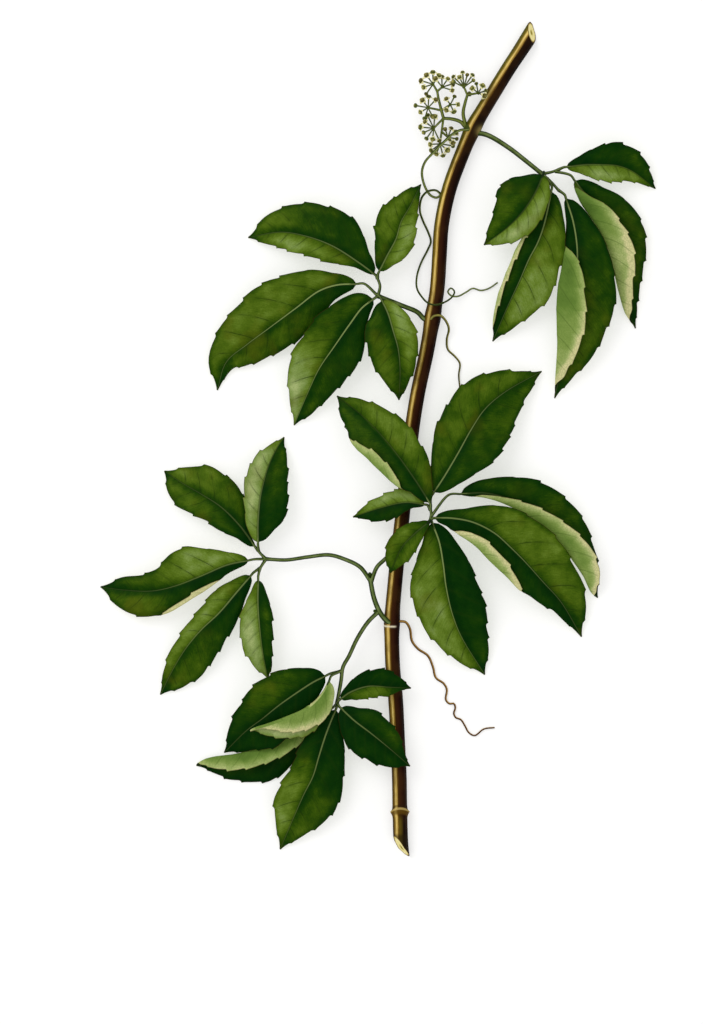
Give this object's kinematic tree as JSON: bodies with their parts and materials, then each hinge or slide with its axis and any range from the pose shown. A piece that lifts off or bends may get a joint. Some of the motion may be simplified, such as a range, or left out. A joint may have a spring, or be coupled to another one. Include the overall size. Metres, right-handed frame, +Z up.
{
  "type": "cut flowering vine stem",
  "caption": "Cut length of a climbing vine lying flat: slender bent stem with palmate toothed leaves, curling tendrils and a small cluster of flower buds.",
  "frame": {"origin": "on the surface that the cut stem lies on, below the middle of its bounding box", "axes": "+Y along the stem's length towards its flowering end, +X to the right of it seen from above, +Z up"},
  "size_m": [0.2786, 0.4202, 0.0236],
  "materials": {
    "leaf": "satin",
    "stalk": "matte",
    "bark": "satin",
    "tendril": "matte",
    "flower": "matte"
  },
  "bodies": {
    "root": {"main_stem": "bark", "leaf_a_stalk": "stalk", "leaf_b_stalk": "stalk", "side_shoot": "stalk", "leaf_a_leaflet_1": "leaf", "leaf_a_leaflet_2": "leaf", "leaf_a_leaflet_3": "leaf", "leaf_a_leaflet_4": "leaf", "leaf_a_leaflet_5": "leaf", "leaf_b_leaflet_1": "leaf", "leaf_b_leaflet_2": "leaf", "leaf_b_leaflet_3": "leaf", "leaf_b_leaflet_4": "leaf", "leaf_b_leaflet_5": "leaf", "leaf_c_leaflet_1": "leaf", "leaf_c_leaflet_2": "leaf", "leaf_c_leaflet_3": "leaf", "leaf_c_leaflet_4": "leaf", "leaf_c_leaflet_5": "leaf", "leaf_c_leaflet_6": "leaf", "leaf_c_leaflet_7": "leaf", "leaf_d_leaflet_1": "leaf", "leaf_d_leaflet_2": "leaf", "leaf_d_leaflet_3": "leaf", "leaf_d_leaflet_4": "leaf", "leaf_d_leaflet_5": "leaf", "leaf_e_leaflet_1": "leaf", "leaf_e_leaflet_2": "leaf", "leaf_e_leaflet_3": "leaf", "leaf_e_leaflet_4": "leaf", "leaf_e_leaflet_5": "leaf", "leaf_e_leaflet_6": "leaf", "tendril_1": "tendril", "tendril_2": "tendril", "tendril_3": "tendril", "flower_cluster": "flower"}
  },
  "joints": []
}
